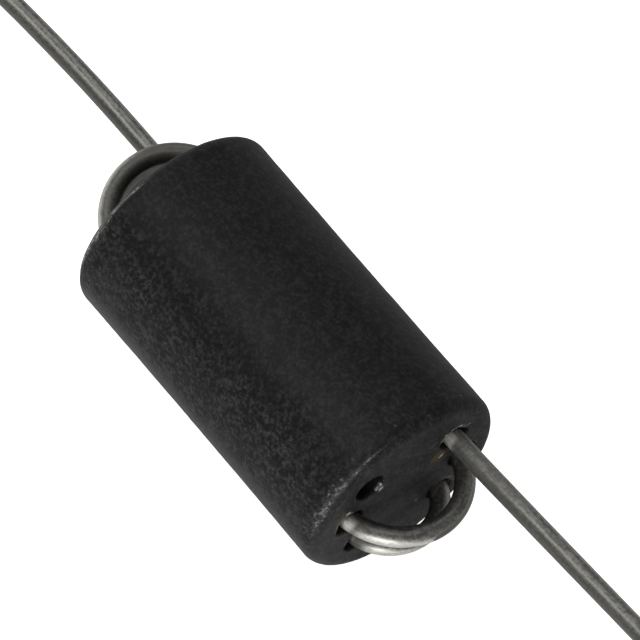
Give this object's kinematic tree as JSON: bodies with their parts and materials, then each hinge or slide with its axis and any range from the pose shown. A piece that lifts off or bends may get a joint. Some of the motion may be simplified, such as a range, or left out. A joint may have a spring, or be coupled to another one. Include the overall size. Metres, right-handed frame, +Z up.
{
  "type": "wound axial ferrite bead",
  "caption": "Dark sintered ferrite cylinder with holes along it, wound with a tinned copper wire that leaves each end as a straight axial lead.",
  "frame": {"origin": "centre of the ferrite core, on its axis at mid length", "axes": "+X along the core's axis, towards the end where the lead leaves the upper hole; +Z up as the bead lies on its side"},
  "size_m": [0.062, 0.006, 0.006],
  "materials": {
    "sintered_ferrite": "matte, finely grained sintered ceramic",
    "tinned_copper": "dull tin plating with fine draw marks"
  },
  "bodies": {
    "root": {"ferrite_core": "sintered_ferrite", "wound_wire": "tinned_copper"}
  },
  "joints": []
}
